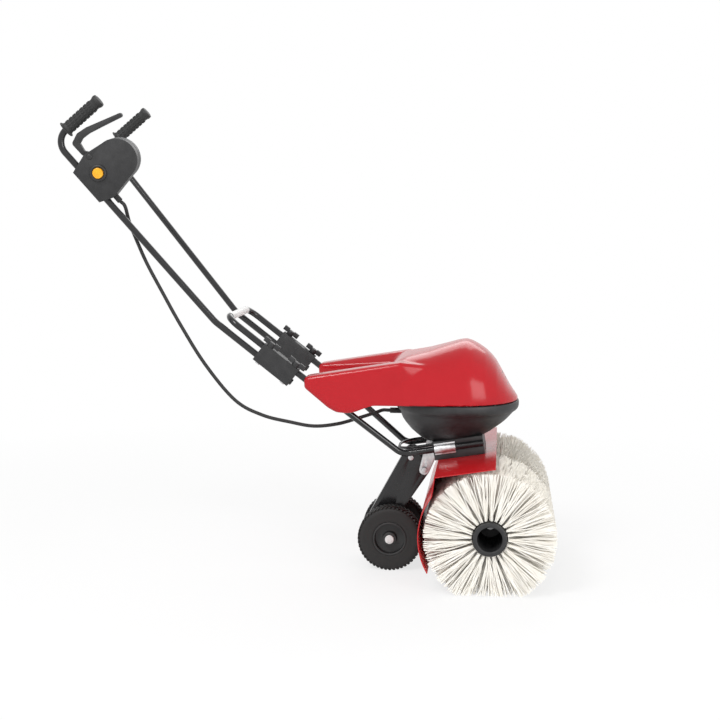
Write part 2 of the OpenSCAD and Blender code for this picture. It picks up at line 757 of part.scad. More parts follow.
// Zinc lugs on the back of the gear head, outside the wheel arm
lug_t = 4;
lug_foot = 22;
lug_end_r = 13;
module arm_lug(s) {
  color(zinc) drive_unit() difference() {
    union() {
      translate([0, s * (arm_w + lug_t / 2), 0]) plate_y(lug_t) hull() {
        translate(lower_bolt) circle(r = lug_end_r);
        translate([-head_back - lug_foot, head_z]) square([lug_foot, head_h - lug_end_r]);
      }
      translate([-head_back - lug_t, s > 0 ? arm_w : -arm_w - lug_foot, head_z])
        cube([lug_t, lug_foot, head_h - lug_end_r]);
    }
    translate([lower_bolt[0], 0, lower_bolt[1]]) along_y(2 * head_half, arm_bolt_r);
  }
}
module arm_lug_left() {
  arm_lug(left);
}
module arm_lug_right() {
  arm_lug(right);
}

// Zinc straps that hold the rails in the grooves of the gear head
strap_len = 52;
strap_t = 3;
strap_foot = 6;
module rail_strap(s) {
  reach = tube_r + strap_foot;
  color(zinc) drive_unit() translate([-head_back + strap_t, s * head_half, rail_z]) rotate([0, 90, 0])
    linear_extrude(height = strap_len) difference() {
      union() {
        circle(r = tube_r + strap_t);
        translate([-reach, s > 0 ? 0 : -strap_t]) square([2 * reach, strap_t]);
      }
      circle(r = tube_r);
      translate([-head_h, s > 0 ? -2 * head_h : 0]) square([2 * head_h, 2 * head_h]);
    }
}
module rail_strap_left() {
  rail_strap(left);
}
module rail_strap_right() {
  rail_strap(right);
}

// Bent rod behind the gear head
bail_r = 3.5;
bail_half = 62;
bail_back = 88;
bail_low = 9;
bail_bend = 45;
module rear_bail() {
  foot = drive_point(-head_back, bail_half, head_top - bail_low);
  back = drive_point(-head_back - bail_back, bail_half, head_top - bail_low);
  color(paint) run([foot, back, on_side(back, right), on_side(foot, right)], [bail_bend, bail_bend], bail_r);
}

// Wheel arm: a pressed channel from the gear head down to the axle
arm_t = 4;
arm_top_r = 22;
arm_side_r = 13;
arm_axle_r = 30;
heel_r = 32;
heel_back = 29;
heel_up = 34;
wheel_in = 46;
upper_p = drive_point(upper_bolt[0], 0, upper_bolt[1]);
lower_p = drive_point(lower_bolt[0], 0, lower_bolt[1]);
axle_p = [-axle_back, 0, wheel_r];
mouth_share = 0.65;
module arm_heel(inset) {
  translate([axle_p[0] - heel_back, axle_p[2] + heel_up]) circle(r = heel_r - inset);
}
module arm_outline(inset) {
  hull() {
    translate([upper_p[0], upper_p[2]]) circle(r = arm_top_r - inset);
    translate([lower_p[0], lower_p[2]]) circle(r = arm_side_r - inset);
    arm_heel(inset);
  }
  hull() {
    arm_heel(inset);
    translate([axle_p[0], axle_p[2]]) circle(r = arm_axle_r - inset);
  }
}
module wheel_arm() {
  boss_half = wheel_in - pass_gap;
  color(paint) difference() {
    union() {
      plate_y(2 * arm_w) arm_outline(0);
      translate(axle_p) along_y(2 * boss_half, 2 * axle_r);
    }
    difference() {
      plate_y(2 * arm_w - 2 * arm_t) arm_outline(arm_t);
      translate(axle_p) along_y(2 * arm_w, 2 * axle_r);
    }
    translate([upper_p[0] - arm_top_r / 2, arm_t - arm_w, upper_p[2] - mouth_share * tongue_h])
      cube([4 * arm_top_r, 2 * arm_w - 2 * arm_t, 3 * arm_top_r]);
    translate(axle_p) along_y(4 * arm_w, axle_r);
    translate(upper_p) along_y(4 * arm_w, arm_bolt_r);
    translate(lower_p) along_y(4 * arm_w, arm_bolt_r);
  }
}
bolt_head_h = 5;
bolt_head_r = 7;
module cross_bolt(at, half) {
  translate(at) {
    along_y(2 * half, arm_bolt_r);
    for (s = [left, right]) translate([0, s * (half + bolt_head_h / 2), 0]) along_y(bolt_head_h, bolt_head_r);
  }
}
module arm_bolts() {
  color(zinc) {
    cross_bolt(upper_p, arm_w);
    cross_bolt(lower_p, arm_w + lug_t);
  }
}
cap_h = 6;
cap_r = 11;
axle_half = wheel_in + wheel_w + pass_gap;
module axle() {
  color(steel) translate(axle_p) along_y(2 * axle_half, axle_r);
}
module axle_caps() {
  color("white") for (s = [left, right])
    translate([axle_p[0], s * (axle_half + cap_h / 2), axle_p[2]]) along_y(cap_h, cap_r);
}

// Wheels: a moulded rim that runs on the axle, and a tyre with a notched tread
rim_out_r = 42;
rim_web = 12;
hub_r = 17;
rim_band = 5;
tread_notches = 24;
notch_w = 7;
notch_h = 3;
tyre_round = 6;
module wheel_place(s) {
  translate([axle_p[0], s * (wheel_in + wheel_w / 2), axle_p[2]]) rotate([-s * 90, 0, 0]) children();
}
module rim(s) {
  half = wheel_w / 2;
  color("#2a2a2c") wheel_place(s) rotate_extrude() difference() {
    translate([axle_r + run_fit, -half]) square([rim_out_r - axle_r - run_fit, wheel_w]);
    translate([hub_r, rim_web / 2]) square([rim_out_r - hub_r - rim_band, wheel_w]);
    translate([hub_r, -rim_web / 2 - wheel_w]) square([rim_out_r - hub_r - rim_band, wheel_w]);
  }
}
module tyre(s) {
  half = wheel_w / 2;
  color("#1f1f20") wheel_place(s) difference() {
    rotate_extrude() {
      translate([rim_out_r, -half]) square([wheel_r - tyre_round - rim_out_r, wheel_w]);
      translate([rim_out_r, tyre_round - half]) square([wheel_r - rim_out_r, wheel_w - 2 * tyre_round]);
      for (e = [left, right])
        translate([wheel_r - tyre_round, e * (half - tyre_round)]) circle(r = tyre_round);
    }
    for (i = [0 : tread_notches - 1]) rotate(i * 360 / tread_notches)
      translate([wheel_r - notch_h, -notch_w / 2, i % 2 > 0 ? half / 3 : -half - over])
        cube([2 * notch_h, notch_w, half * 2 / 3 + over]);
  }
}
module rim_left() {
  rim(left);
}
module rim_right() {
  rim(right);
}
module tyre_left() {
  tyre(left);
}
module tyre_right() {
  tyre(right);
}

// Handle clamps: a block with two bores, its bolts beside the tubes
clamp_in = 11;
clamp_out = 20;
bolt_off = 13;
bolt_tip = 3;
bolt_cap = 4;
knob_h = 15;
module clamp_place(s) {
  translate(on_side(clamp_mid, s)) rotate([0, rail_slope, 0]) children();
}
module bolt_place(s, e) {
  clamp_place(s) translate([e * knob_pitch / 2, s * bolt_off, 0]) children();
}
module clamp(s) {
  color(black) clamp_place(s) difference() {
    translate([-clamp_len / 2, s > 0 ? -clamp_in : -clamp_out, -clamp_gap - clamp_in])
      cube([clamp_len, clamp_in + clamp_out, clamp_gap + 2 * clamp_in]);
    rotate([0, 90, 0]) cylinder(r = tube_r, h = clamp_len + 2 * over, center = true);
    translate([0, 0, -clamp_gap]) rotate([0, 90, 0])
      cylinder(r = tube_r + run_fit, h = clamp_len + 2 * over, center = true);
    for (e = [left, right]) translate([e * knob_pitch / 2, s * bolt_off, 0])
      cylinder(r = bolt_r, h = 4 * clamp_gap, center = true);
  }
}
module clamp_left() {
  clamp(left);
}
module clamp_right() {
  clamp(right);
}
module clamp_bolts() {
  low = clamp_gap + clamp_in;
  color(steel) for (s = [left, right], e = [left, right]) bolt_place(s, e) {
    translate([0, 0, -low - bolt_tip]) cylinder(r = 2 * bolt_r, h = bolt_tip);
    translate([0, 0, -low]) cylinder(r = bolt_r, h = low + clamp_in + knob_h - bolt_cap);
  }
}
knob_hub_r = 9;
wing_t = 9;
wing_low = 3;
wing_len = 15;
module knob(s, e) {
  color(black) bolt_place(s, e) translate([0, 0, clamp_in + pass_gap]) difference() {
    union() {
      cylinder(r = knob_hub_r, h = knob_h - wing_low);
      for (d = [left, right])
        translate([d * (knob_len - wing_len) / 2, 0, wing_low + (knob_h - wing_low) / 2])
          cube([wing_len, wing_t, knob_h - wing_low], center = true);
    }
    translate([0, 0, -over]) cylinder(r = bolt_r + run_fit, h = knob_h - bolt_cap + over);
  }
}
module knob_left_upper() {
  knob(left, right);
}
module knob_left_lower() {
  knob(left, left);
}
module knob_right_upper() {
  knob(right, right);
}
module knob_right_lower() {
  knob(right, left);
}

// Handles: one bent tube on each side, with a grip at its end
module handle_run(s, r, extra) {
  foot = handle_foot + rail_dir * extra;
  end = grip_end + grip_dir * extra;
  run([for (p = [foot, handle_bend, grip_corner, end]) on_side(p, s)], [bend_r, grip_bend], r);
}
module handle_tube(s) {
  color(paint) difference() {
    handle_run(s, tube_r, 0);
    handle_run(s, tube_r - tube_wall, over);
  }
}
module handle_tube_left() {
  handle_tube(left);
}
module handle_tube_right() {
  handle_tube(right);
}
grip_flange_r = 18;
grip_flange_h = 5;
bulge_r = 16;
bulge_h = 14;
grip_cap = 4;
module grip(s) {
  color(black) translate(on_side(grip_start, s)) rotate([0, handle_slope, 0]) rotate_extrude() polygon([
    [tube_r, 0], [grip_flange_r, 0], [grip_flange_r, grip_flange_h], [grip_r, 2 * grip_flange_h],
    [grip_r, grip_len - bulge_h - grip_cap], [bulge_r, grip_len - bulge_h], [bulge_r, grip_len],
    [grip_r, grip_len + grip_cap], [0, grip_len + grip_cap], [0, grip_len], [tube_r, grip_len]
  ]);
}
module grip_left() {
  grip(left);
}
module grip_right() {
  grip(right);
}

// Switch box on the right handle: s runs down the tube, n away from it, w outwards
box_drop = 82;
box_s = unit(on_side(handle_bend, right) - on_side(grip_corner, right));
box_w = cross(box_s, grip_dir);
box_o = on_side(grip_corner, right) + box_s * box_drop;
function box_at(s, n, w) = box_o + box_s * s + grip_dir * n + box_w * w;
module box_place() {
  multmatrix([
    [box_s[0], grip_dir[0], box_w[0], box_o[0]],
    [box_s[1], grip_dir[1], box_w[1], box_o[1]],
    [box_s[2], grip_dir[2], box_w[2], box_o[2]],
    [0, 0, 0, 1]
  ]) children();
}
box_shares = [[-0.083, 0.236], [0.033, -0.088], [0.8, -0.088], [0.91, 0.135], [0.81, 0.61], [0, 0.676]];
round_share = [0.4, 0.574, 0.417];
middle_share = [0.4, 0.338];
button_share = [0.362, 0.218];
pin_share = [0.017, 0.284];
inlet_share = [0.375, 0.54];
gland_share = [0.91, 0.149];
screw_shares = [[0.1, 0.575], [0.72, 0.568], [0.73, 0.14], [0.417, 0.838]];
function spot(share) = [share[0] * box_len, share[1] * box_reach];
module box_outline() {
  polygon([for (p = box_shares) spot(p)]);
  translate(spot(round_share)) circle(r = round_share[2] * box_len);
}
tube_land = 12;
post_out = 3.5;
pin_r = 4;
pin_boss = 9;
module box_cavity() {
  k = 1 - 2 * box_wall / (box_len - 2 * tube_land);
  difference() {
    translate(spot(middle_share)) scale(k) translate(-spot(middle_share)) box_outline();
    translate([-box_len, -box_reach + tube_land]) square([3 * box_len, box_reach]);
    for (p = screw_shares) translate(spot(p)) circle(r = screw_r + post_out);
    translate(spot(pin_share)) circle(r = pin_boss);
  }
}
slot_gap = 1;
slot_len = 44;
slot_wide = 42;
slot_s = -30;
slot_n = 18;
box_gland_r = 7;
box_gland_in = 9;
box_gland_out = 16;
module box_cuts() {
  rotate([0, 90, 0]) cylinder(r = tube_r, h = 4 * box_len, center = true);
  translate([slot_s, slot_n, -lever_half - slot_gap])
    cube([slot_len, slot_wide, 2 * lever_half + 2 * slot_gap]);
  translate(spot(pin_share)) cylinder(r = pin_r, h = 4 * box_front, center = true);
  translate([spot(gland_share)[0] - box_gland_in, spot(gland_share)[1], 0]) rotate([0, 90, 0])
    cylinder(r = box_gland_r, h = box_len);
}
collar_h = 4;
collar_w = 4;
screw_deep = 12;
module box_front_shell() {
  color(black) box_place() difference() {
    union() {
      linear_extrude(height = box_front) box_outline();
      translate(spot(button_share)) cylinder(r = button_r + collar_w, h = box_front + collar_h);
    }
    translate([0, 0, -over]) linear_extrude(height = box_front - box_wall + over) box_cavity();
    translate(spot(button_share)) cylinder(r = button_r + pass_gap, h = 2 * box_front);
    for (p = screw_shares) translate(concat(spot(p), [-over])) cylinder(r = screw_r, h = screw_deep + over);
    box_cuts();
  }
}
module box_back_shell() {
  color(black) box_place() difference() {
    translate([0, 0, -box_back]) linear_extrude(height = box_back) box_outline();
    translate([0, 0, box_wall - box_back]) linear_extrude(height = box_back) box_cavity();
    for (p = screw_shares) translate(concat(spot(p), [-box_back - over]))
      cylinder(r = screw_r, h = box_back + 2 * over);
    box_cuts();
  }
}
module box_screws() {
  color(steel) box_place() for (p = screw_shares) translate(concat(spot(p), [-box_back])) {
    cylinder(r = screw_r, h = box_back + screw_deep);
    translate([0, 0, -screw_head_h]) cylinder(r = screw_head_r, h = screw_head_h);
  }
}
switch_len = 28;
switch_w = 16;
switch_h = 19;
module micro_switch() {
  color("#3b3f46") box_place() translate(concat(spot(button_share), [box_wall - box_back + switch_h / 2]))
    cube([switch_len, switch_w, switch_h], center = true);
}
inlet_r = 17;
inlet_h = 22;
inlet_wall = 2.5;
inlet_base = 4;
pin_count = 3;
contact_r = 2;
contact_in = 8;
module mains_inlet() {
  color(black) box_place() translate(concat(spot(inlet_share), [-box_back])) mirror([0, 0, 1]) {
    difference() {
      cylinder(r = inlet_r, h = inlet_h);
      translate([0, 0, inlet_base]) cylinder(r = inlet_r - inlet_wall, h = inlet_h);
    }
    for (i = [0 : pin_count - 1]) rotate(i * 360 / pin_count) translate([contact_in, 0, inlet_base - over])
      cylinder(r = contact_r, h = inlet_h - 2 * inlet_base);
  }
}
module box_gland() {
  at = spot(gland_share);
  color(paint) box_place() translate([at[0] - box_gland_in, at[1], 0]) rotate([0, 90, 0]) difference() {
    cylinder(r = box_gland_r, h = box_gland_in + box_gland_out);
    translate([0, 0, box_gland_in]) cylinder(r = cable_r + pass_gap, h = box_gland_out + over);
  }
}
module lever_pin() {
  color(steel) box_place() translate(concat(spot(pin_share), [-box_back]))
    cylinder(r = pin_r, h = box_back + box_front);
}
lever_shares = [
  [0.017, 0.35, 0.075], [-0.13, 0.275, 0.045], [-0.36, 0.295, 0.07], [-0.416, 0.45, 0.072],
  [-0.395, 0.64, 0.067], [-0.31, 0.94, 0.056], [-0.2, 1.32, 0.046]
];
module finger_lever() {
  lift = spot(pin_share)[1] - lever_shares[0][1] * box_len;
  color(black) box_place() difference() {
    translate([0, lift, -lever_half]) linear_extrude(height = 2 * lever_half)
      for (i = [0 : len(lever_shares) - 2]) hull() for (p = [lever_shares[i], lever_shares[i + 1]])
        translate([p[0], p[1]] * box_len) circle(r = p[2] * box_len, $fn = hull_fn);
    translate(concat(spot(pin_share), [-2 * lever_half])) cylinder(r = pin_r + run_fit, h = 4 * lever_half);
  }
}
button_out = 9;
button_flange = 3;
button_flange_h = 4;
stem_r = 5;
module push_button() {
  seat = box_front - box_wall - pass_gap;
  foot = box_wall - box_back + switch_h + button_travel + pass_gap;
  color(yellow) box_place() translate(spot(button_share)) {
    translate([0, 0, seat - button_flange_h])
      cylinder(r = button_r, h = box_front + button_out - seat + button_flange_h);
    translate([0, 0, seat - button_flange_h]) cylinder(r = button_r + button_flange, h = button_flange_h);
    translate([0, 0, foot]) cylinder(r = stem_r, h = seat - foot);
  }
}

// Cable from the switch box to the motor, as a tube along a smooth route
cable_sides = 8;
cable_steps = 3;
cable_start = box_at(spot(gland_share)[0] + pass_gap, spot(gland_share)[1], 0);
cable_end = [-rim_back - rim_r - gland_out + gland_in - pass_gap, -gland_y, gland_z];
cable_route = concat(
  [cable_start, cable_start + box_s * box_gland_out, cable_start + box_s * 2 * box_gland_out],
  [
    [-874, -160, 862], [-857, -152, 813], [-836, -147, 762], [-804, -142, 699], [-759, -134, 613],
    [-701, -122, 514], [-631, -107, 425], [-566, -94, 387], [-499, -78, 368], [-441, -62, 356],
    [-383, -45, 360], [-333, -30, 373], [-290, -18, 386]
  ],
  [cable_end - [2 * gland_out, 0, 0], cable_end - [gland_out, 0, 0], cable_end]
);
function smooth(a, b, c, d, t) =
  0.5 * (2 * b + (c - a) * t + (2 * a - 5 * b + 4 * c - d) * t * t + (3 * b - 3 * c + d - a) * t * t * t);
function route_at(i, t) = let (n = len(cable_route) - 1) smooth(
  cable_route[max(0, i - 1)], cable_route[i], cable_route[i + 1], cable_route[min(n, i + 2)], t
);
module motor_cable() {
  last = len(cable_route) - 1;
  path = concat(
    [for (i = [0 : last - 1], j = [0 : cable_steps - 1]) route_at(i, j / cable_steps)], [cable_route[last]]
  );
  n = len(path);
  rings = [for (i = [0 : n - 1]) let (
    t = unit(path[min(n - 1, i + 1)] - path[max(0, i - 1)]), u = unit(cross(t, [0, 1, 0])), v = cross(t, u)
  ) for (k = [0 : cable_sides - 1]) let (a = 360 * k / cable_sides)
    path[i] + (u * cos(a) + v * sin(a)) * cable_r];
  walls = [for (i = [0 : n - 2], k = [0 : cable_sides - 1]) let (k2 = (k + 1) % cable_sides)
    each [
      [i * cable_sides + k, (i + 1) * cable_sides + k2, i * cable_sides + k2],
      [i * cable_sides + k, (i + 1) * cable_sides + k, (i + 1) * cable_sides + k2]
    ]];
  caps = [
    [for (k = [0 : cable_sides - 1]) k],
    [for (k = [cable_sides - 1 : -1 : 0]) (n - 1) * cable_sides + k]
  ];
  color("#1a1a1a") polyhedron(points = rings, faces = concat(walls, caps));
}

module placed() {
  translate([origin_x, 0, 0]) children();
}

placed() lower_frame();
placed() bow_sleeve();
placed() gear_head();
placed() gear_case_left();
placed() gear_case_right();
placed() case_screws();
placed() motor_bowl();
placed() hood();
placed() hood_screws();
placed() motor_can();
placed() stator();
placed() motor_bridge();
placed() motor_bearings();
placed() output_bearings();
placed() shaft_seals();
placed() guard();
placed() arm_lug_left();
placed() arm_lug_right();
placed() rail_strap_left();
placed() rail_strap_right();
placed() rear_bail();
placed() wheel_arm();
placed() arm_bolts();
placed() axle();
placed() axle_caps();
placed() clamp_left();
placed() clamp_right();
placed() clamp_bolts();
placed() motor_gland();
placed() motor_cable();
placed() handle_tube_left();
placed() grip_left();
placed() handle_tube_right();
placed() grip_right();
placed() box_front_shell();
placed() box_back_shell();
placed() box_screws();
placed() micro_switch();
placed() mains_inlet();
placed() box_gland();
placed() lever_pin();
placed() finger_lever();
placed() push_button();
placed() knob_left_upper();
placed() knob_left_lower();
placed() knob_right_upper();
placed() knob_right_lower();
placed() tyre_left();
placed() rim_left();
placed() tyre_right();
placed() rim_right();
placed() brush_shaft();
placed() worm_wheel();
placed() brush_core_left();
placed() brush_core_right();
placed() bristles_left();
placed() bristles_right();
placed() rotor_shaft();
placed() rotor_core();
placed() fan();
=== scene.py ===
# %% [markdown]
# # Power brush sweeper
# The solids of the sweeper come from the CAD frame. This lesson dresses them: it adds a camera and light,
# gives every solid a finish, and models again what a plain solid can't show, such as the bristles and the
# hood's skin. All lengths are in metres.

# %% Load the frame
import json
import math
import bpy
import numpy as np
from mathutils import Matrix, Vector


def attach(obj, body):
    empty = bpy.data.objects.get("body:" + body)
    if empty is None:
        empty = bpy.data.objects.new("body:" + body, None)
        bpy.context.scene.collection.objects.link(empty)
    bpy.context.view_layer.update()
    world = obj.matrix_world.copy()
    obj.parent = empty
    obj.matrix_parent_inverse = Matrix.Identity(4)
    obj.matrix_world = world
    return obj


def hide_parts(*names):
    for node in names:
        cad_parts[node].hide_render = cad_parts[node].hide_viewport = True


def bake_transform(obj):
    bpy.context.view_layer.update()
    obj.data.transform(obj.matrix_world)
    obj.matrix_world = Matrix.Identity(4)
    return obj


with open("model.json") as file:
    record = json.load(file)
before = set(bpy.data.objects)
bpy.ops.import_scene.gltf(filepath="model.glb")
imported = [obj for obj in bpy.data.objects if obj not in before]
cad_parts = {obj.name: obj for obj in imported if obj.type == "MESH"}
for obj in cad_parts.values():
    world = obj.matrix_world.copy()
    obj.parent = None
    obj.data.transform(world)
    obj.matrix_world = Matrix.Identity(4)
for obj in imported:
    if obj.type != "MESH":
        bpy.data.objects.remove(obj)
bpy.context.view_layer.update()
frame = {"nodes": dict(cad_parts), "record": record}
nodes = frame["nodes"]

# %% [markdown]
# ## Camera
# A long lens far away keeps the tubes almost parallel, as in the photograph. The camera stands a little to
# the right of the middle and looks slightly down, so its matrix is built from those two angles.

# %% Camera
azimuth, elevation = math.radians(6.05), math.radians(6.72)
camera_at = (0.457, -3.3173, 0.9089)
lens_mm, sensor_mm, view_depth = 66.73, 36, 100
flat = math.cos(elevation)
back = Vector((math.sin(azimuth) * flat, -math.cos(azimuth) * flat, math.sin(elevation)))
right = Vector((math.cos(azimuth), math.sin(azimuth), 0))
up = back.cross(right)
camera = bpy.data.objects.new("camera", bpy.data.cameras.new("camera"))
bpy.context.collection.objects.link(camera)
camera.data.sensor_width = sensor_mm
camera.data.lens = lens_mm
camera.data.clip_end = view_depth
camera.matrix_world = Matrix((right, up, back)).transposed().to_4x4()
camera.location = camera_at
scene = bpy.context.scene
scene.camera = camera
scene.view_settings.view_transform = "Standard"
print("camera at", tuple(camera.location))

# %% [markdown]
# ## Studio
# The photograph was taken in a white studio: a large soft light from above and in front, pale walls all
# round, and a floor that turns fully white. Big area lights give soft highlights on the hood and the tubes.
# What the camera sees of floor and sky is white, and so is their mirror image in the gloss, but they don't
# light the part any more than a plain room would: a Light Path node tells these rays from the ones that carry
# light.


# %% Rays that the eye follows
def eye_rays(tree):
    path = tree.nodes.new("ShaderNodeLightPath")
    seen = path.outputs["Is Camera Ray"]
    for kind in ("Is Glossy Ray", "Is Transmission Ray"):
        either = tree.nodes.new("ShaderNodeMath")
        either.operation = "MAXIMUM"
        tree.links.new(seen, either.inputs[0])
        tree.links.new(path.outputs[kind], either.inputs[1])
        seen = either.outputs["Value"]
    return seen


# %% Floor
floor_size, floor_at, floor_rough = 60, (0, 20, 0), 0.9
floor_color, pure_white = (0.95, 0.95, 0.95, 1), (1, 1, 1, 1)
# The floor is this white near the part, and fully white beyond the second distance
fade_from, fade_to, fade_least = 0.9, 2.2, 0.74
bpy.ops.object.select_all(action="DESELECT")
bpy.ops.mesh.primitive_plane_add(size=floor_size, location=floor_at)
floor = bpy.context.object
floor.name = "floor"
bpy.ops.object.transform_apply()
white = bpy.data.materials.new("floor_white")
white.use_nodes = True
tree = white.node_tree
near = tree.nodes["Principled BSDF"]
near.inputs["Base Color"].default_value = floor_color
near.inputs["Roughness"].default_value = floor_rough
far = tree.nodes.new("ShaderNodeEmission")
far.inputs["Color"].default_value = pure_white
spread = tree.nodes.new("ShaderNodeVectorMath")
spread.operation = "LENGTH"
fade = tree.nodes.new("ShaderNodeMapRange")
fade.inputs["From Min"].default_value = fade_from
fade.inputs["From Max"].default_value = fade_to
fade.inputs["To Min"].default_value = fade_least
share = tree.nodes.new("ShaderNodeMath")
share.operation = "MULTIPLY"
mix = tree.nodes.new("ShaderNodeMixShader")
tree.links.new(tree.nodes.new("ShaderNodeTexCoord").outputs["Object"], spread.inputs[0])
tree.links.new(spread.outputs["Value"], fade.inputs["Value"])
tree.links.new(fade.outputs["Result"], share.inputs[0])
tree.links.new(eye_rays(tree), share.inputs[1])
tree.links.new(share.outputs["Value"], mix.inputs["Fac"])
tree.links.new(near.outputs["BSDF"], mix.inputs[1])
tree.links.new(far.outputs["Emission"], mix.inputs[2])
tree.links.new(mix.outputs["Shader"], tree.nodes["Material Output"].inputs["Surface"])
floor.data.materials.append(white)
print("floor", floor_size, "m wide")


# %% Lights and sky
def area_light(name, at, target, size, power):
    light = bpy.data.objects.new(name, bpy.data.lights.new(name, "AREA"))
    bpy.context.collection.objects.link(light)
    light.data.size = size
    light.data.energy = power
    light.location = at
    light.rotation_euler = (Vector(target) - Vector(at)).to_track_quat("-Z", "Y").to_euler()


area_light("key", at=(-1.2, -2.6, 3.4), target=(0.1, 0, 0.4), size=1.2, power=74)
area_light("fill", at=(2.6, -2.4, 1.1), target=(0.3, 0, 0.25), size=1.6, power=38)
area_light("rim", at=(0.6, 3.0, 2.8), target=(0.1, 0, 0.5), size=2.4, power=34)
room_light, seen_light = 0.55, 1
world = bpy.data.worlds.new("studio")
scene.world = world
world.use_nodes = True
tree = world.node_tree
sky = tree.nodes["Background"]
sky.inputs["Color"].default_value = pure_white
glow = tree.nodes.new("ShaderNodeMapRange")
glow.inputs["To Min"].default_value = room_light
glow.inputs["To Max"].default_value = seen_light
tree.links.new(eye_rays(tree), glow.inputs["Value"])
tree.links.new(glow.outputs["Result"], sky.inputs["Strength"])

# %% [markdown]
# ## Finishes
# Each finish is a small node tree on object coordinates. One noise mottles the colour and the gloss a little,
# a finer one drives a bump for the grain, so that paint, moulded plastic, zinc and rubber don't look alike.

# %% Finish helper
mottle_from, mottle_to, mottle_detail = 0.3, 0.7, 4
gloss_spread, coat_rough, bump_depth = 0.25, 0.08, 0.001


def finish(name, dark, light, rough, metal=0.0, spot=60.0, grain=900.0, bump=0.08, coat=0.0, shine=0.5):
    material = bpy.data.materials.new(name)
    material.use_nodes = True
    tree = material.node_tree
    shader = tree.nodes["Principled BSDF"]
    shader.inputs["Metallic"].default_value = metal
    shader.inputs["Specular IOR Level"].default_value = shine
    shader.inputs["Coat Weight"].default_value = coat
    shader.inputs["Coat Roughness"].default_value = coat_rough
    where = tree.nodes.new("ShaderNodeTexCoord")
    mottle = tree.nodes.new("ShaderNodeTexNoise")
    mottle.inputs["Scale"].default_value = spot
    mottle.inputs["Detail"].default_value = mottle_detail
    ramp = tree.nodes.new("ShaderNodeValToRGB")
    ramp.color_ramp.elements[0].position = mottle_from
    ramp.color_ramp.elements[1].position = mottle_to
    ramp.color_ramp.elements[0].color = (*dark, 1)
    ramp.color_ramp.elements[1].color = (*light, 1)
    gloss = tree.nodes.new("ShaderNodeMapRange")
    gloss.inputs["To Min"].default_value = (1 - gloss_spread) * rough
    gloss.inputs["To Max"].default_value = (1 + gloss_spread) * rough
    fine = tree.nodes.new("ShaderNodeTexNoise")
    fine.inputs["Scale"].default_value = grain
    height = tree.nodes.new("ShaderNodeBump")
    height.inputs["Strength"].default_value = bump
    height.inputs["Distance"].default_value = bump_depth
    link = tree.links.new
    link(where.outputs["Object"], mottle.inputs["Vector"])
    link(where.outputs["Object"], fine.inputs["Vector"])
    link(mottle.outputs["Fac"], ramp.inputs["Fac"])
    link(ramp.outputs["Color"], shader.inputs["Base Color"])
    link(mottle.outputs["Fac"], gloss.inputs["Value"])
    link(gloss.outputs["Result"], shader.inputs["Roughness"])
    link(fine.outputs["Fac"], height.inputs["Height"])
    link(height.outputs["Normal"], shader.inputs["Normal"])
    return material


# %% Finishes of the sweeper
# The darkest and lightest colour of each finish, its roughness and whatever differs from the helper's defaults
recipes = {
    "black_paint": dict(dark=(0.010, 0.010, 0.011), light=(0.017, 0.017, 0.018), rough=0.2, bump=0.008,
                        coat=0.1, shine=0.45),
    "black_plastic": dict(dark=(0.014, 0.014, 0.015), light=(0.024, 0.024, 0.025), rough=0.5, bump=0.12),
    "red_hood": dict(dark=(0.44, 0.008, 0.014), light=(0.475, 0.010, 0.017), rough=0.2, spot=12, bump=0.015,
                     coat=0.08, shine=0.25),
    "red_sheet": dict(dark=(0.47, 0.008, 0.012), light=(0.53, 0.011, 0.015), rough=0.25, spot=20, bump=0.02,
                      coat=0.1, shine=0.4),
    "zinc": dict(dark=(0.55, 0.55, 0.56), light=(0.78, 0.78, 0.78), rough=0.42, metal=1, spot=150, bump=0.05),
    "steel": dict(dark=(0.45, 0.45, 0.46), light=(0.6, 0.6, 0.61), rough=0.3, metal=1, spot=90, bump=0.04),
    "alloy": dict(dark=(0.5, 0.5, 0.5), light=(0.62, 0.62, 0.62), rough=0.45, metal=1, spot=120, bump=0.1),
    "winding": dict(dark=(0.25, 0.09, 0.03), light=(0.4, 0.16, 0.06), rough=0.4, metal=0.6, spot=200),
    "black_rubber": dict(dark=(0.014, 0.014, 0.014), light=(0.024, 0.024, 0.024), rough=0.62, bump=0.15),
    "white_plastic": dict(dark=(0.78, 0.78, 0.77), light=(0.86, 0.86, 0.85), rough=0.45, grain=120, bump=0.004),
    "yellow_plastic": dict(dark=(0.85, 0.38, 0.01), light=(0.95, 0.46, 0.02), rough=0.3, bump=0.03),
    "tyre_rubber": dict(dark=(0.011, 0.010, 0.010), light=(0.021, 0.020, 0.019), rough=0.65, spot=40, bump=0.2),
    "rim_plastic": dict(dark=(0.02, 0.02, 0.02), light=(0.03, 0.03, 0.03), rough=0.45, bump=0.08),
    "bronze": dict(dark=(0.42, 0.26, 0.08), light=(0.55, 0.35, 0.12), rough=0.35, metal=1, spot=100),
    "bristle": dict(dark=(0.90, 0.865, 0.79), light=(0.96, 0.935, 0.88), rough=0.5, spot=35, grain=400,
                    bump=0.05),
}
finishes = {name: finish(name, **recipe) for name, recipe in recipes.items()}
print("finishes", len(finishes))

# %% Every solid takes the finish that the record names for it
slots = {part["node"]: part["material_slot"] for part in frame["record"]["subparts"]}
for name, obj in nodes.items():
    obj.data.materials.clear()
    obj.data.materials.append(finishes[slots[name]])
print("painted", len(nodes))

# %% [markdown]
# ## Helpers
# Three small helpers serve every new piece: one makes an object the only selected one, one makes an object
# from points, and one adds a modifier and applies it at once.


# %% Helpers
def only(obj):
    bpy.ops.object.select_all(action="DESELECT")
    obj.select_set(True)
    bpy.context.view_layer.objects.active = obj
    return obj


def built(name, verts, edges, faces):
    mesh = bpy.data.meshes.new(name)
    mesh.from_pydata(verts, edges, faces)
    obj = bpy.data.objects.new(name, mesh)
    bpy.context.collection.objects.link(obj)
    return only(obj)


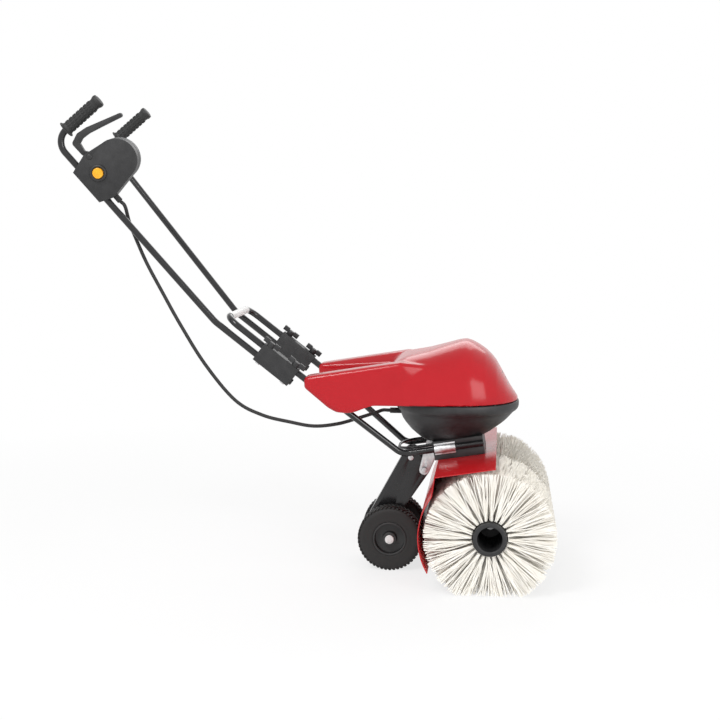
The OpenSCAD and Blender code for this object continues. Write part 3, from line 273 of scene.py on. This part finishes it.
def use(obj, kind, **settings):
    only(obj)
    modifier = obj.modifiers.new(kind.lower(), kind)
    for key, value in settings.items():
        setattr(modifier, key, value)
    bpy.ops.object.modifier_apply(modifier=modifier.name)


# %% [markdown]
# ## Motor cable
# The cable leaves the switch box, hangs in a long bow beside the handle and comes up again into the motor
# bowl. A curve with a round bevel follows the same points as the CAD cable, and it is turned into a mesh.

# %% Cable line
cable_r, steps_between = 0.0045, 8
route = [Vector(p) for p in [
    (-0.4601, -0.1876, 0.9243), (-0.4499, -0.1854, 0.9121), (-0.4398, -0.1832, 0.9000), (-0.4364, -0.16, 0.862),
    (-0.4194, -0.152, 0.813), (-0.3984, -0.147, 0.762), (-0.3664, -0.142, 0.699), (-0.3214, -0.134, 0.613),
    (-0.2634, -0.122, 0.514), (-0.1934, -0.107, 0.425), (-0.1284, -0.094, 0.387), (-0.0614, -0.078, 0.368),
    (-0.0034, -0.062, 0.356), (0.0546, -0.045, 0.36), (0.1046, -0.03, 0.373), (0.1476, -0.018, 0.386),
    (0.1641, -0.01, 0.391), (0.1801, -0.01, 0.391), (0.1961, -0.01, 0.391)]]


def smooth_line(points, steps):
    line = []
    for i in range(len(points) - 1):
        a, b, c, d = points[max(0, i - 1)], points[i], points[i + 1], points[min(len(points) - 1, i + 2)]
        for j in range(steps):
            t = j / steps
            line.append(0.5 * (2 * b + (c - a) * t + (2 * a - 5 * b + 4 * c - d) * t ** 2
                               + (3 * b - 3 * c + d - a) * t ** 3))
    return line + [points[-1]]


line = smooth_line(route, steps_between)

# %% Cable
curve = bpy.data.curves.new("motor_cable_tube", "CURVE")
curve.dimensions = "3D"
curve.bevel_depth = cable_r
curve.bevel_resolution = 3
curve.use_fill_caps = True
spline = curve.splines.new("POLY")
spline.points.add(len(line) - 1)
for point, at in zip(spline.points, line):
    point.co = (*at, 1)
cable = bpy.data.objects.new("motor_cable_tube", curve)
bpy.context.collection.objects.link(cable)
only(cable)
bpy.ops.object.convert(target="MESH")
cable = bpy.context.object
bpy.ops.object.shade_smooth()
cable.data.materials.append(finishes["black_rubber"])
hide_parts("motor_cable")
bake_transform(cable)
print("cable faces", len(cable.data.polygons))

# %% [markdown]
# ## Bristles
# A brush half carries tufts of stiff plastic strands, set in rings on the core. One strand is a thin tapered
# three-sided cone with a few rings, so that it can bend. Copies of it make tufts, which fan out a little at
# their tips, and those that reach the ground are pressed flat on it.

# %% One strand
strand_taper, strand_rings = 0.75, (-0.1, 0.22)
bpy.ops.object.select_all(action="DESELECT")
bpy.ops.mesh.primitive_cone_add(vertices=3, radius1=1, radius2=strand_taper, depth=1, end_fill_type="TRIFAN")
strand = bpy.context.object
bpy.ops.object.mode_set(mode="EDIT")
for ring_z in strand_rings:
    bpy.ops.mesh.select_all(action="SELECT")
    bpy.ops.mesh.bisect(plane_co=(0, 0, ring_z), plane_no=(0, 0, 1))
bpy.ops.object.mode_set(mode="OBJECT")
# The cone stands round its middle, and a strand from its root
strand_co = np.array([v.co for v in strand.data.vertices]) + (0, 0, 0.5)
strand_faces = [tuple(f.vertices) for f in strand.data.polygons]
bpy.data.objects.remove(strand)
print("strand faces", len(strand_faces))

# %% Measures of the brush
axis_x, axis_z = 0.4376, 0.135
root_r, tip_r, strand_r = 0.0425, 0.1560, 0.00135
tufts_around, tuft_rows, strands_per_tuft = 24, 12, 23
half_from, half_to, tips_from, tips_to = 0.036, 0.286, 0.038, 0.29
# Each row is turned by this share of a tuft's step, and the outermost rows lean outwards by up to this length
row_turn, outer_lean = 0.07, 0.014
# Spread in angle of the tufts, and of the strands at their roots and tips
tuft_sway, root_fan, tip_fan = 0.035, 0.036, 0.072
# Spread in length along the core at roots and tips, of the reach and of the bow of a strand
root_shift, tip_shift, reach_loss, bow_depth = 0.0032, 0.0060, 0.0025, 0.003
# Heights over the axis at which tips and strands rest, and how far tips splay for a depth that is pressed flat
tip_floor, strand_floor = 0.0012 - axis_z, 0.0003 - axis_z
splay, splay_depth = 0.25, 0.02
rng = np.random.default_rng(7)
print("strands on a half", tufts_around * tuft_rows * strands_per_tuft)


# %% Tufts on both halves
def strand_points(turn, sway, tuft_y, lean):
    root_a = turn + rng.normal(0, root_fan)
    tip_a = turn + sway + rng.normal(0, tip_fan)
    root_y = max(half_from, tuft_y + rng.normal(0, root_shift))
    tip_y = min(tips_to, max(tips_from, root_y + lean + rng.normal(0, tip_shift)))
    reach = tip_r - abs(rng.normal(0, reach_loss))
    root = np.array((root_r * math.cos(root_a), root_y, root_r * math.sin(root_a)))
    tip = np.array((reach * math.cos(tip_a), tip_y, reach * math.sin(tip_a)))
    if tip[2] < tip_floor:
        tip[0] *= 1.0 + splay * (tip_floor - tip[2]) / splay_depth
        tip[2] = tip_floor
    out = tip - root
    length = np.linalg.norm(out)
    out = out / length
    sideways = np.cross(out, (0, 1, 0))
    sideways /= np.linalg.norm(sideways)
    over = np.cross(out, sideways)
    t = strand_co[:, 2]
    bow = rng.normal(0, bow_depth) * np.sin(np.pi * t)
    points = (root + np.outer(t * length, out) + np.outer(strand_co[:, 0] * strand_r + bow, sideways)
              + np.outer(strand_co[:, 1] * strand_r, over))
    points[:, 2] = np.maximum(points[:, 2], strand_floor)
    return points


def bristle_half(name, side):
    verts, faces = [], []
    step = (half_to - half_from) / tuft_rows
    for row in range(tuft_rows):
        lean = outer_lean * max(0.0, (2 * row + 1) / tuft_rows - 1)
        tuft_y = half_from + (row + 0.5) * step
        for k in range(tufts_around):
            turn = 2 * math.pi * (k + row_turn * row) / tufts_around
            sway = rng.normal(0, tuft_sway)
            for _ in range(strands_per_tuft):
                base = len(verts) * len(strand_co)
                verts.append(strand_points(turn, sway, tuft_y, lean))
                faces += [tuple(base + i for i in f) for f in strand_faces]
    co = np.concatenate(verts)
    co[:, 1] *= side
    co += (axis_x, 0, axis_z)
    obj = built(name, co.tolist(), [], faces)
    if side > 0:
        bpy.ops.object.mode_set(mode="EDIT")
        bpy.ops.mesh.select_all(action="SELECT")
        bpy.ops.mesh.flip_normals()
        bpy.ops.object.mode_set(mode="OBJECT")
    obj.data.materials.append(finishes["bristle"])
    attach(obj, "brush")
    return obj


for node, side in (("bristles_left", 1), ("bristles_right", -1)):
    half = bristle_half(node + "_strands", side)
    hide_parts(node)
    print(half.name, len(half.data.polygons), "faces")

# %% [markdown]
# ## Hood
# The hood is one glossy moulding: a dome over the motor and two arms that run back over the rails. The dome
# is bridged from a row of cross-sections, boxy where the arms join it and round at its front. The arms are
# hulls round balls. Joined, turned into an even net of small faces and smoothed, they flow into each other.
# The bottom is cut open along a level line that dips under the arms: the form is lifted there by the dip, cut
# level and let down again. Last, the skin is given its thickness.

# %% Dome sections
rim = Vector((0.3506, 0, 0.423))
rim_r, dome_lift, arc_steps = 0.152, 0.0005, 40
# Behind the rim's middle the dome widens by this length over this run
flare, flare_run = 0.010, 0.12
# Place along the part, height over the rim and fullness of each section, from the rear of the dome to its nose
dome = [(0.180, 0.020, 6), (0.184, 0.072, 6), (0.190, 0.090, 6), (0.199, 0.099, 5.5), (0.213, 0.107, 5),
        (0.230, 0.113, 4.2), (0.280, 0.124, 3.3), (0.327, 0.138, 2.8), (0.358, 0.147, 2.6), (0.374, 0.149, 2.5),
        (0.390, 0.144, 2.5), (0.406, 0.135, 2.4), (0.421, 0.125, 2.4), (0.436, 0.111, 2.3), (0.448, 0.096, 2.3),
        (0.457, 0.080, 2.2), (0.469, 0.058, 2.2), (0.479, 0.039, 2.2), (0.489, 0.024, 2.2), (0.497, 0.013, 2.2),
        (0.501, 0.007, 2.2)]


def half_width(x):
    behind = max(0.0, rim.x - x)
    ahead = max(0.0, x - rim.x)
    return math.sqrt(rim_r ** 2 - ahead ** 2) + flare * min(1.0, behind / flare_run)


verts, rings = [], []
for x, height, full in dome:
    ring = []
    for k in range(arc_steps + 1):
        a = math.pi * k / arc_steps
        c, s = math.cos(a), math.sin(a)
        y = half_width(x) * math.copysign(abs(c) ** (2 / full), c)
        ring.append(len(verts))
        verts.append((x, y, rim.z + dome_lift + height * s ** (2 / full)))
    rings.append(ring)
edges = [(r[k], r[(k + 1) % len(r)]) for r in rings for k in range(len(r))]
print("dome sections", len(rings))

# %% Dome
hood = built("hood_dome", verts, edges, [])
bpy.ops.object.mode_set(mode="EDIT")
bpy.ops.mesh.select_all(action="SELECT")
bpy.ops.mesh.bridge_edge_loops()
bpy.ops.mesh.select_all(action="DESELECT")
bpy.ops.mesh.select_non_manifold()
bpy.ops.mesh.edge_face_add()
bpy.ops.mesh.select_all(action="SELECT")
bpy.ops.mesh.normals_make_consistent(inside=False)
bpy.ops.object.mode_set(mode="OBJECT")
print("dome faces", len(hood.data.polygons))

# %% Arms
kink = Vector((0.0142, 0.132, 0.4612))
# Corners of an arm from the kink of the rail: along the part, upwards and inwards
arm = [(-0.019, 0.022, 0), (-0.019, 0.008, 0), (0.035, -0.037, 0), (0.052, -0.046, 0), (0.076, -0.0485, 0),
       (0.208, -0.029, 0), (0.205, 0.058, 0), (0.300, 0.046, 0.034), (0.300, -0.026, 0.026)]
arm_half, edge_r = 0.029, 0.010


def hull(name, parts):
    bpy.ops.object.select_all(action="DESELECT")
    for part in parts:
        part.select_set(True)
    bpy.context.view_layer.objects.active = parts[0]
    bpy.ops.object.join()
    bpy.ops.object.transform_apply()
    obj = bpy.context.object
    obj.name = name
    bpy.ops.object.mode_set(mode="EDIT")
    bpy.ops.mesh.select_all(action="SELECT")
    bpy.ops.mesh.convex_hull(use_existing_faces=False)
    bpy.ops.mesh.select_all(action="SELECT")
    bpy.ops.mesh.normals_make_consistent(inside=False)
    bpy.ops.object.mode_set(mode="OBJECT")
    return obj


def ball(at, r):
    bpy.ops.mesh.primitive_uv_sphere_add(segments=32, ring_count=16, radius=r, location=at)
    return bpy.context.object


arms = []
for side in (1, -1):
    balls = [ball((kink.x + x, side * (kink.y - inwards + e * (arm_half - edge_r)), kink.z + z), edge_r)
             for x, z, inwards in arm for e in (1, -1)]
    arms.append(hull("hood_arm", balls))
print("arms", len(arms))

# %% Join and smooth the hood, and cut the slots in its nose
voxel = 0.0035
slot_size, slot_tilt, slot_bevel = (0.016, 0.07, 0.004), math.radians(-30), 0.0015
nose_slots = [(0.4630, 0.4920), (0.4700, 0.4790), (0.4765, 0.4660)]
for part in arms:
    use(hood, "BOOLEAN", operation="UNION", object=part, solver="EXACT")
    bpy.data.objects.remove(part)
hood.name = "hood_skin"
use(hood, "REMESH", mode="VOXEL", voxel_size=voxel)
use(hood, "SMOOTH", factor=0.5, iterations=10)
bpy.ops.object.select_all(action="DESELECT")
for x, z in nose_slots:
    bpy.ops.mesh.primitive_cube_add(size=1, location=(x, 0, z), rotation=(0, slot_tilt, 0), scale=slot_size)
    bpy.ops.object.transform_apply()
    cutter = bpy.context.object
    use(cutter, "BEVEL", width=slot_bevel, segments=2)
    use(hood, "BOOLEAN", operation="DIFFERENCE", object=cutter, solver="EXACT")
    bpy.data.objects.remove(cutter)
print("slots", len(nose_slots))

# %% Open the hood and give it its thickness
skin, seam_gap = 0.003, 0.0015
dip_depth, dip_from, dip_run = 0.020, 0.160, 0.070


def dip(x):
    t = max(0.0, min(1.0, (dip_from - x) / dip_run))
    return dip_depth * t * t * (3 - 2 * t)


only(hood)
for v in hood.data.vertices:
    v.co.z += dip(v.co.x)
bpy.ops.object.mode_set(mode="EDIT")
bpy.ops.mesh.select_all(action="SELECT")
bpy.ops.mesh.bisect(plane_co=(0, 0, rim.z + seam_gap), plane_no=(0, 0, 1), clear_inner=True)
bpy.ops.object.mode_set(mode="OBJECT")
for v in hood.data.vertices:
    v.co.z -= dip(v.co.x)
use(hood, "SOLIDIFY", thickness=skin, offset=-1)
bpy.ops.object.shade_smooth()
hood.data.materials.clear()
hood.data.materials.append(finishes["red_hood"])
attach(hood, "chassis")
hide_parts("hood")
print("hood faces", len(hood.data.polygons))

# %% [markdown]
# ## Turned pieces
# The bowl, the grips, the tyres and the small round pieces of the switch box are turned forms. Half of a
# section is drawn as pairs of radius and height, and spun round the piece's axis.

# %% Turned pieces
seam, crease = 0.00002, math.radians(40)


def turned(name, section, at, axis, steps=64, closed=False):
    axis = Vector(axis).normalized()
    across = axis.orthogonal().normalized()
    edges = [(i, i + 1) for i in range(len(section) - 1)] + closed * [(len(section) - 1, 0)]
    obj = built(name, [Vector(at) + axis * h + across * r for r, h in section], edges, [])
    bpy.ops.object.mode_set(mode="EDIT")
    bpy.ops.mesh.select_all(action="SELECT")
    bpy.ops.mesh.spin(steps=steps, angle=2 * math.pi, center=at, axis=axis)
    bpy.ops.mesh.select_all(action="SELECT")
    bpy.ops.mesh.remove_doubles(threshold=seam)
    bpy.ops.mesh.normals_make_consistent(inside=False)
    bpy.ops.object.mode_set(mode="OBJECT")
    return obj


def dress(obj, slot, body):
    only(obj)
    bpy.ops.object.shade_smooth_by_angle(angle=crease)
    obj.data.materials.append(finishes[slot])
    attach(obj, body)


# %% [markdown]
# ## Motor bowl
# The bowl has a smooth band where it meets the hood. Below the band it leans back towards the gear head, so
# its rings are moved by a shear.

# %% Bowl
bowl_section = [(0.1495, 0.4230), (0.1528, 0.4215), (0.1536, 0.4175), (0.1534, 0.4095), (0.1515, 0.4035),
                (0.1475, 0.3985), (0.1425, 0.3950), (0.1395, 0.3900), (0.1355, 0.3835), (0.1300, 0.3755),
                (0.1220, 0.3665), (0.1120, 0.3570), (0.1010, 0.3470), (0.0885, 0.3380), (0.0765, 0.3295),
                (0.0640, 0.3220), (0.0500, 0.3175), (0.0, 0.3165)]
lean_from, bowl_lean = 0.399, 0.26
bowl = turned("bowl_skin", bowl_section, (rim.x, 0, 0), (0, 0, 1), steps=96)
for v in bowl.data.vertices:
    v.co.x -= bowl_lean * max(0.0, lean_from - v.co.z)
use(bowl, "SOLIDIFY", thickness=skin, offset=-1)
dress(bowl, "black_plastic", "chassis")
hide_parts("motor_bowl")
print("bowl faces", len(bowl.data.polygons))

# %% [markdown]
# ## Rounded edges
# Moulded and pressed pieces never have razor edges. A copy of each such solid is merged to clean faces, its
# sharp edges get a narrow bevel, and the copy stands for the solid.

# %% Bevelled copies
weld, flat_angle, bevel_angle, smooth_angle = 0.000002, math.radians(0.5), math.radians(40), math.radians(35)
bodies = {name: body for body, names in frame["record"]["behaviour"]["bodies"].items() for name in names}
widths = {
    "gear_head": 0.003, "guard": 0.0006, "arm_lug_left": 0.001, "arm_lug_right": 0.001,
    "rail_strap_left": 0.0007, "rail_strap_right": 0.0007, "wheel_arm": 0.0015, "arm_bolts": 0.001,
    "axle_caps": 0.002, "clamp_left": 0.003, "clamp_right": 0.003, "box_front_shell": 0.004,
    "box_back_shell": 0.004, "finger_lever": 0.004, "push_button": 0.0025, "knob_left_upper": 0.0025,
    "knob_left_lower": 0.0025, "knob_right_upper": 0.0025, "knob_right_lower": 0.0025, "rim_left": 0.0015,
    "rim_right": 0.0015, "brush_core_left": 0.002, "brush_core_right": 0.002, "bow_sleeve": 0.0006,
    "motor_gland": 0.001, "box_gland": 0.001, "mains_inlet": 0.001,
}


def softened(name, width):
    obj = bpy.data.objects.new(name + "_soft", nodes[name].data.copy())
    bpy.context.collection.objects.link(obj)
    only(obj)
    bpy.ops.object.mode_set(mode="EDIT")
    bpy.ops.mesh.select_all(action="SELECT")
    bpy.ops.mesh.remove_doubles(threshold=weld)
    bpy.ops.mesh.dissolve_limited(angle_limit=flat_angle)
    bpy.ops.object.mode_set(mode="OBJECT")
    use(obj, "BEVEL", width=width, segments=2, limit_method="ANGLE", angle_limit=bevel_angle,
        harden_normals=False)
    bpy.ops.object.shade_smooth_by_angle(angle=smooth_angle)
    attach(obj, bodies[name])
    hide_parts(name)


for name, width in widths.items():
    softened(name, width)
print("bevelled", len(widths))

# %% [markdown]
# ## Grips
# A rubber grip has a thin wide flange that keeps the hand off the tube, and a rounded end. That is a turned
# form. Rows of short raised ribs stand on it: one rib is a bevelled block, and copies of it stand in rings
# along the grip, all in one mesh for each side.

# %% Grips
grip_tilt = math.radians(50)
grip_axis = Vector((math.sin(grip_tilt), 0, math.cos(grip_tilt)))
grip_starts = {"left": Vector((-0.5700, 0.2142, 1.0800)), "right": Vector((-0.5700, -0.2142, 1.0800))}
grip_section = [(0.0, 0.0), (0.0198, 0.0), (0.0205, 0.0009), (0.0200, 0.0024), (0.0172, 0.0036),
                (0.0154, 0.0054), (0.0144, 0.0090), (0.0138, 0.0140), (0.0138, 0.0920), (0.0146, 0.0960),
                (0.0160, 0.0985), (0.0163, 0.1030), (0.0152, 0.1068), (0.0120, 0.1080), (0.0, 0.1080)]
for side, start in grip_starts.items():
    grip = turned("grip_skin_" + side, grip_section, start, grip_axis, steps=48)
    dress(grip, "black_rubber", "handle_" + side)
    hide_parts("grip_" + side)
    print(grip.name, len(grip.data.polygons), "faces")


# %% Studs
def block(size, bevel):
    bpy.ops.object.select_all(action="DESELECT")
    bpy.ops.mesh.primitive_cube_add(size=1, scale=size)
    bpy.ops.object.transform_apply()
    obj = bpy.context.object
    use(obj, "BEVEL", width=bevel, segments=1)
    shape = np.array([v.co for v in obj.data.vertices]), [tuple(f.vertices) for f in obj.data.polygons]
    bpy.data.objects.remove(obj)
    return shape


def studded(name, shape, seats):
    block_co, block_faces = shape
    verts, faces = [], []
    for at, outwards, lengthwise in seats:
        axes = np.array([outwards, lengthwise.cross(outwards), lengthwise])
        base = len(verts) * len(block_co)
        verts.append(block_co @ axes + np.array(at))
        faces += [tuple(base + v for v in f) for f in block_faces]
    return built(name, np.concatenate(verts).tolist(), [], faces)


# %% Grip ribs
rib = block(size=(0.0030, 0.0032, 0.0085), bevel=0.0009)
across, level = Vector((grip_axis.z, 0, -grip_axis.x)), Vector((0, 1, 0))
ribs_around, ribs_along, rib_from, rib_pitch, rib_r = 14, 7, 0.0155, 0.0112, 0.0138
for side, start in grip_starts.items():
    seats = []
    for i in range(ribs_along):
        for k in range(ribs_around):
            a = 2 * math.pi * (k + 0.5) / ribs_around
            outwards = across * math.cos(a) + level * math.sin(a)
            at = start + grip_axis * (rib_from + i * rib_pitch) + outwards * rib_r
            seats.append((at, outwards, grip_axis))
    ribs = studded("grip_ribs_" + side, rib, seats)
    dress(ribs, "black_rubber", "handle_" + side)
    print(ribs.name, len(seats), "ribs")

# %% [markdown]
# ## Tyres
# A tyre is a turned ring with bulging walls. Its tread is two rows of slanted lugs, half a step apart, so
# that the edge of the wheel looks toothed.

# %% Tyres
tyre_section = [(0.0420, -0.0205), (0.0450, -0.0222), (0.0500, -0.0213), (0.0560, -0.0216), (0.0660, -0.0225),
                (0.0720, -0.0217), (0.0760, -0.0190), (0.0776, -0.0150), (0.0780, 0.0), (0.0776, 0.0150),
                (0.0760, 0.0190), (0.0720, 0.0217), (0.0660, 0.0225), (0.0560, 0.0216), (0.0500, 0.0213),
                (0.0450, 0.0222), (0.0420, 0.0205)]
axle, wheel_y = Vector((0.1886, 0, 0.080)), 0.0685
lugs_around, lug_y, lug_r, lug_slant, row_offset = 48, 0.0108, 0.0779, math.radians(24), 0.25
lug = block(size=(0.0040, 0.0060, 0.0205), bevel=0.0007)
for side, sign in (("left", 1), ("right", -1)):
    hub = axle + level * sign * wheel_y
    tyre = turned("tyre_skin_" + side, tyre_section, hub, level, steps=88, closed=True)
    dress(tyre, "tyre_rubber", "wheel_" + side)
    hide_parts("tyre_" + side)
    seats = []
    for row in (1, -1):
        for k in range(lugs_around):
            a = 2 * math.pi * (k + row_offset * row) / lugs_around
            outwards = Vector((math.cos(a), 0, math.sin(a)))
            lengthwise = level * math.cos(lug_slant) + row * outwards.cross(level) * math.sin(lug_slant)
            seats.append((hub + level * row * lug_y + outwards * lug_r, outwards, lengthwise))
    tread = studded("tyre_tread_" + side, lug, seats)
    dress(tread, "tyre_rubber", "wheel_" + side)
    print(tyre.name, len(seats), "lugs")

# %% [markdown]
# ## Switch box details
# The push button stands in a raised black collar, and small domed caps hide the ends of the lever's pin. The
# collar is drawn wider than the real one, so its dark ring is partly painted shadow, the shade that the button
# casts beside it. Both are turned forms on the box's own axes: down the tube, along the grip and outwards.

# %% Collar and pin caps
tube_down = Vector((0.63659, 0.13851, -0.75867))
box_out = tube_down.cross(grip_axis)
bend_end, box_drop = Vector((-0.59906, -0.21423, 1.05552)), 0.082
box_origin = bend_end + box_drop * tube_down
box_front, box_back = 0.024, 0.028
button_at, pin_at = (0.0434, 0.0323), (0.0020, 0.0420)
# The collar reaches out wider than the real collar: its outer dark ring is painted shadow of the button
collar_and_shadow_section = [(0.0205, -0.0010), (0.0205, 0.0036), (0.0192, 0.0056), (0.0168, 0.0064), (0.0148, 0.0061),
                  (0.0137, 0.0050), (0.0137, -0.0010)]
cap_section = [(0.0, -0.0008), (0.0064, -0.0008), (0.0064, 0.0010), (0.0052, 0.0020), (0.0028, 0.0025),
               (0.0, 0.0026)]


def box_at(down, forward, out):
    return box_origin + tube_down * down + grip_axis * forward + box_out * out


collar_and_shadow = turned("button_collar", collar_and_shadow_section, box_at(*button_at, box_front), box_out, closed=True)
front_cap = turned("pin_cap_front", cap_section, box_at(*pin_at, box_front), box_out, steps=32)
back_cap = turned("pin_cap_back", cap_section, box_at(*pin_at, -box_back), -box_out, steps=32)
for piece in (collar_and_shadow, front_cap, back_cap):
    dress(piece, "black_plastic", "handle_right")
    print(piece.name, len(piece.data.polygons), "faces")
